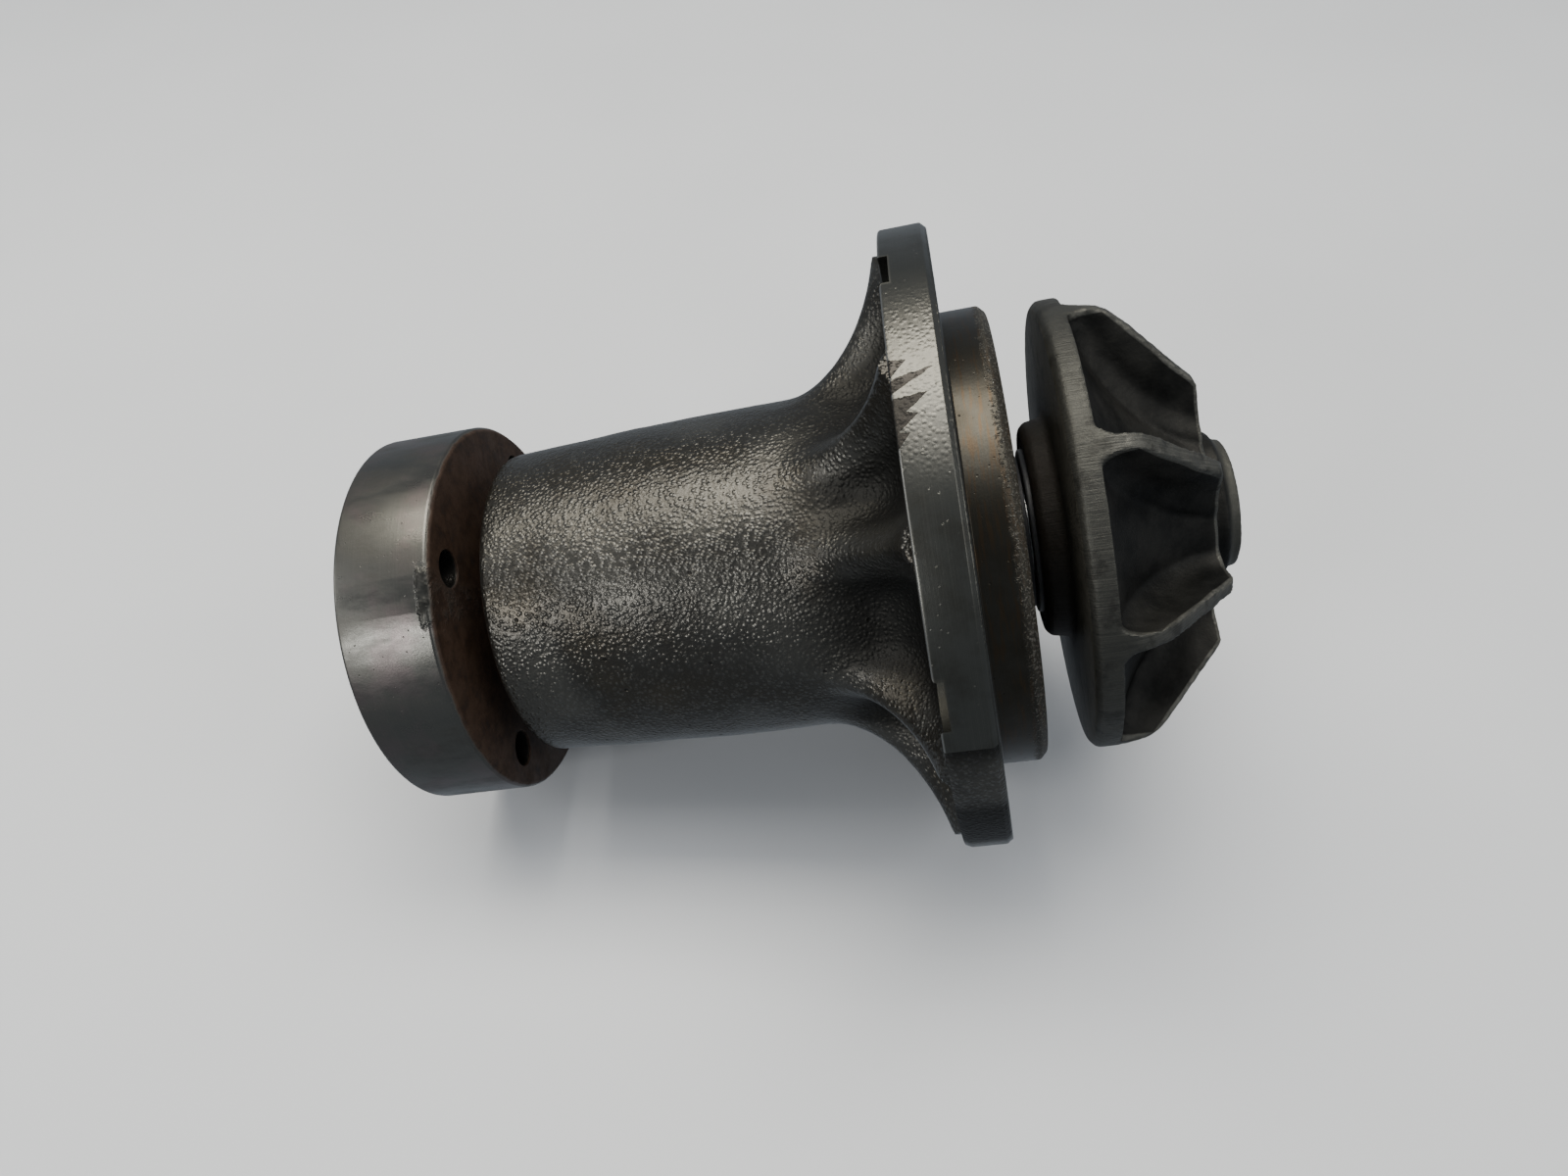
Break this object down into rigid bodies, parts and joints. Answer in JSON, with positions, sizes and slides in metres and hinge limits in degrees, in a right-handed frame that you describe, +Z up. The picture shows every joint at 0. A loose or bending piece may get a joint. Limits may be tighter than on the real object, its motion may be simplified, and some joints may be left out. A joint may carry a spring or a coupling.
{
  "type": "coolant pump",
  "caption": "Engine coolant pump: cast barrel with ribbed round flange and pilot, pulley hub on a bearing-borne shaft, and a semi-open vaned impeller.",
  "frame": {"origin": "on the shaft axis, in the plane of the flange's mounting face, where the engine holds the pump", "axes": "+X along the shaft towards the impeller, +Z up"},
  "size_m": [0.1341, 0.0985, 0.0985],
  "materials": {
    "cast_body": "as cast, machined on the rim and pilot",
    "hub_steel": "turned, stained",
    "ground_steel": "ground",
    "impeller_iron": "as cast, rim turned",
    "cage_resin": "glass-filled nylon",
    "seal_rubber": "moulded",
    "seal_brass": "pressed sheet",
    "spring_steel": "drawn wire",
    "carbon": "lapped carbon",
    "ceramic": "lapped silicon carbide"
  },
  "bodies": {
    "housing": {"pump_body": "cast_body", "bearing_race": "ground_steel", "bearing_seal_hub_side": "seal_rubber", "bearing_seal_pump_side": "seal_rubber", "seal_cup": "seal_brass", "seal_bellows": "seal_rubber", "seal_spring": "spring_steel", "carbon_ring": "carbon"},
    "rotor": {"pump_shaft": "ground_steel", "drive_hub": "hub_steel", "slinger": "seal_rubber", "ceramic_seat": "ceramic", "seat_cup": "seal_rubber", "impeller": "impeller_iron"},
    "ball_train": {"ball_cage": "cage_resin", "ball_1": "ground_steel", "ball_2": "ground_steel", "ball_3": "ground_steel", "ball_4": "ground_steel", "ball_5": "ground_steel", "ball_6": "ground_steel", "ball_7": "ground_steel", "ball_8": "ground_steel"},
    "roller_train": {"roller_cage": "cage_resin", "roller_1": "ground_steel", "roller_2": "ground_steel", "roller_3": "ground_steel", "roller_4": "ground_steel", "roller_5": "ground_steel", "roller_6": "ground_steel", "roller_7": "ground_steel", "roller_8": "ground_steel", "roller_9": "ground_steel"}
  },
  "joints": [
    {"name": "shaft_spin", "type": "hinge", "parent": "housing", "child": "rotor", "pos_m": [0, 0, 0], "axis": [1, 0, 0], "continuous": true},
    {"name": "ball_train_spin", "type": "hinge", "parent": "housing", "child": "ball_train", "pos_m": [0, 0, 0], "axis": [1, 0, 0], "continuous": true},
    {"name": "roller_train_spin", "type": "hinge", "parent": "housing", "child": "roller_train", "pos_m": [0, 0, 0], "axis": [1, 0, 0], "continuous": true}
  ],
  "couplings": [
    {"joint": "ball_train_spin", "follows": "shaft_spin", "ratio": 0.34018},
    {"joint": "roller_train_spin", "follows": "shaft_spin", "ratio": 0.37671}
  ]
}
